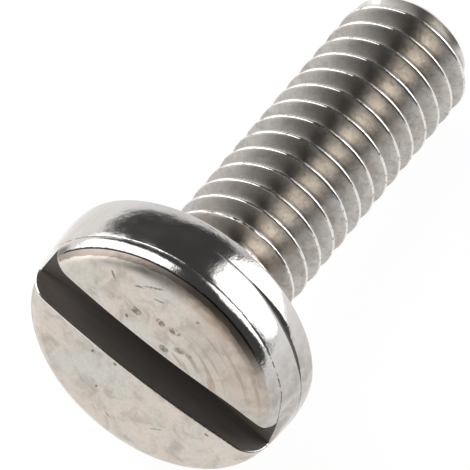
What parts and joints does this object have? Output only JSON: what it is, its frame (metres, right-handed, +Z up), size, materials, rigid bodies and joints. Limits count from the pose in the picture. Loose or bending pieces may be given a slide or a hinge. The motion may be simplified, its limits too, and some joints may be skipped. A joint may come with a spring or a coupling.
{
  "type": "slotted pan head screw",
  "caption": "Slotted machine screw with a rounded, nearly flat head and a thread along the whole shank, lying on its side.",
  "frame": {"origin": "middle of the bounding box, on the floor that the screw lies on", "axes": "+X from the head towards the tip along the floor, +Z up; the screw's own axis falls towards the tip, in the XZ plane"},
  "size_m": [0.0148, 0.0078, 0.008],
  "materials": {
    "steel": "satin"
  },
  "bodies": {
    "root": {"screw": "steel"}
  },
  "joints": []
}
